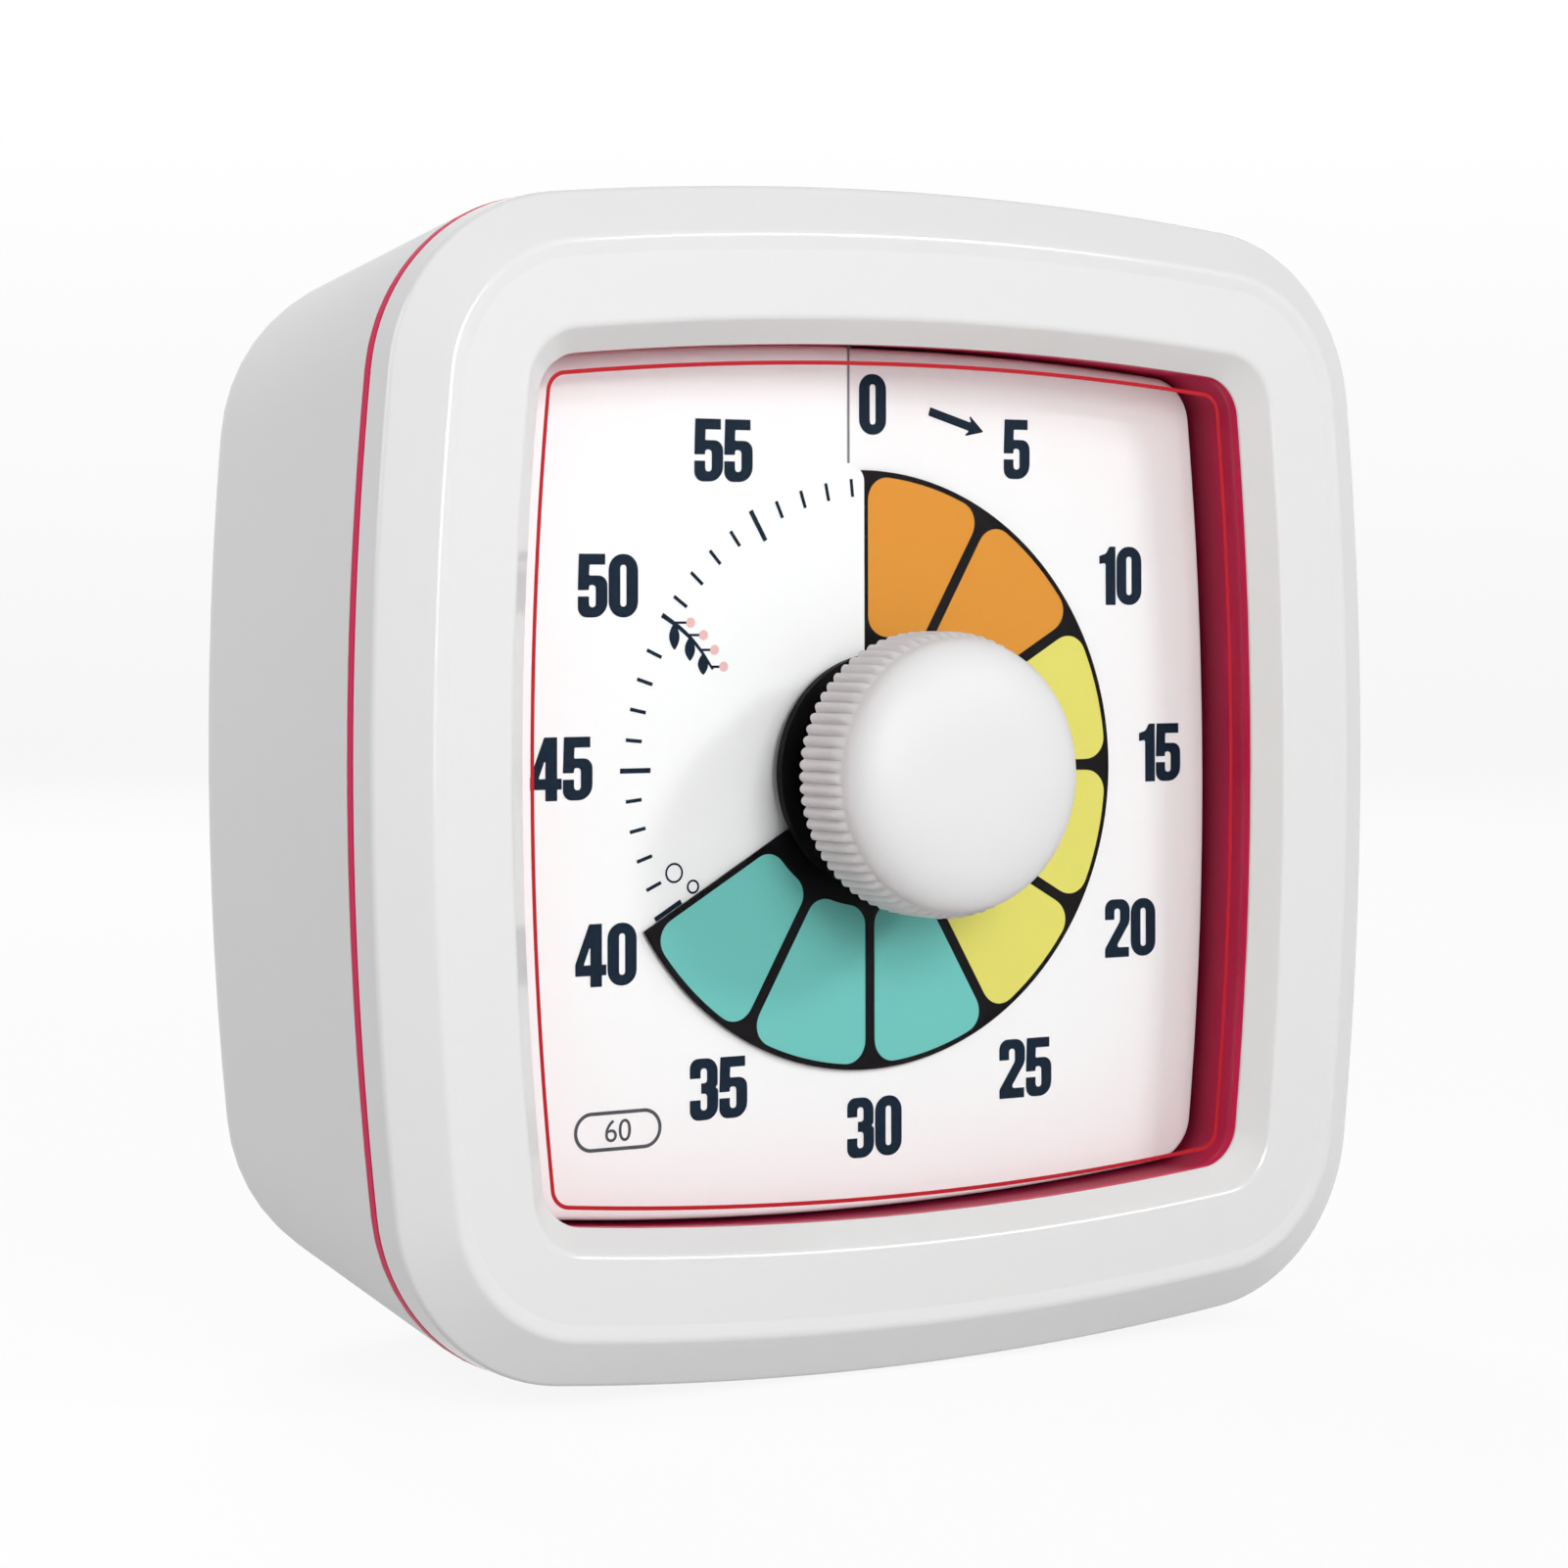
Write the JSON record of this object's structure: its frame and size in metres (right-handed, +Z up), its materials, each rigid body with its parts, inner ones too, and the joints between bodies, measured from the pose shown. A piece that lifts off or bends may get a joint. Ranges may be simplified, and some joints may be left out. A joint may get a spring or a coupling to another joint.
{
  "type": "visual countdown timer",
  "caption": "Puffed square desk timer with a ribbed centre knob, numbered dial and a coloured disc that winds out through a slit to show the time left.",
  "frame": {"origin": "on the surface the feet stand on, below the middle of the overall length", "axes": "+X to the timer's right seen from the front, +Y from the face into the body, +Z up"},
  "size_m": [0.098, 0.0546, 0.0983],
  "materials": {
    "shell_white": "fine satin moulded ABS",
    "frame_white": "smooth semi-gloss moulded ABS",
    "crimson": "semi-gloss crimson plastic",
    "clear_lens": "clear moulded lens with a fine red border line",
    "dial_white": "matt white with printed navy numbers",
    "disc_print": "thin sheet printed in coloured petals on black",
    "black_plastic": "satin black",
    "knob_white": "fine satin, ribbed flank",
    "steel": "plated steel",
    "brass": "spring brass",
    "case_grey": "satin grey plastic",
    "acetal": "natural acetal",
    "copper_wire": "enamelled copper winding",
    "board_green": "solder mask over laminate",
    "cell_wrap": "printed steel can, plain",
    "rubber_grey": "soft dull rubber"
  },
  "bodies": {
    "housing": {"rear_shell": "shell_white", "front_frame": "frame_white", "accent_frame": "crimson", "lens": "clear_lens", "dial_plate": "dial_white", "movement_front": "case_grey", "movement_back": "case_grey", "coil": "copper_wire", "circuit_board": "board_green", "switch_body": "steel", "sounder": "black_plastic", "battery_cell": "cell_wrap", "contact_spring": "steel", "contact_plate": "steel", "housing_screws": "steel", "dial_screws": "steel", "movement_screws": "steel", "board_screws": "steel", "rubber_feet": "rubber_grey"},
    "dial_knob": {"knob": "knob_white", "disc_hub": "black_plastic", "knob_shaft": "steel", "clutch_spring": "brass", "clutch_collar": "steel"},
    "coloured_disc": {"colour_disc": "disc_print"},
    "output_gear": {"output_wheel": "acetal"},
    "middle_gear": {"middle_wheel": "acetal"},
    "rotor_gear": {"rotor": "steel"},
    "door": {"battery_door": "shell_white"},
    "switch": {"sound_switch": "black_plastic"}
  },
  "joints": [
    {"name": "knob_turn", "type": "hinge", "parent": "housing", "child": "dial_knob", "pos_m": [0, 0, 0.0501], "axis": [0, 1, 0], "range_deg": [-240, 120]},
    {"name": "disc_wind", "type": "slide", "parent": "dial_knob", "child": "coloured_disc", "axis": [0, -1, 0], "range_m": [-0.00121, 0.00061]},
    {"name": "output_turn", "type": "hinge", "parent": "housing", "child": "output_gear", "pos_m": [0, 0, 0.0501], "axis": [0, 1, 0], "continuous": true},
    {"name": "middle_turn", "type": "hinge", "parent": "housing", "child": "middle_gear", "pos_m": [0.015, 0, 0.0501], "axis": [0, 1, 0], "continuous": true},
    {"name": "rotor_turn", "type": "hinge", "parent": "housing", "child": "rotor_gear", "pos_m": [0.01326, 0, 0.05995], "axis": [0, 1, 0], "continuous": true},
    {"name": "door_open", "type": "hinge", "parent": "housing", "child": "door", "pos_m": [0, 0.02735, 0.0117], "axis": [-1, 0, 0], "range_deg": [0, 60]},
    {"name": "sound_slide", "type": "slide", "parent": "housing", "child": "switch", "axis": [1, 0, 0], "range_m": [-0.002, 0.002]}
  ],
  "couplings": [
    {"joint": "disc_wind", "follows": "knob_turn", "m_per_rad": 0.00028648},
    {"joint": "middle_turn", "follows": "output_turn", "ratio": -4},
    {"joint": "rotor_turn", "follows": "output_turn", "ratio": 16}
  ]
}
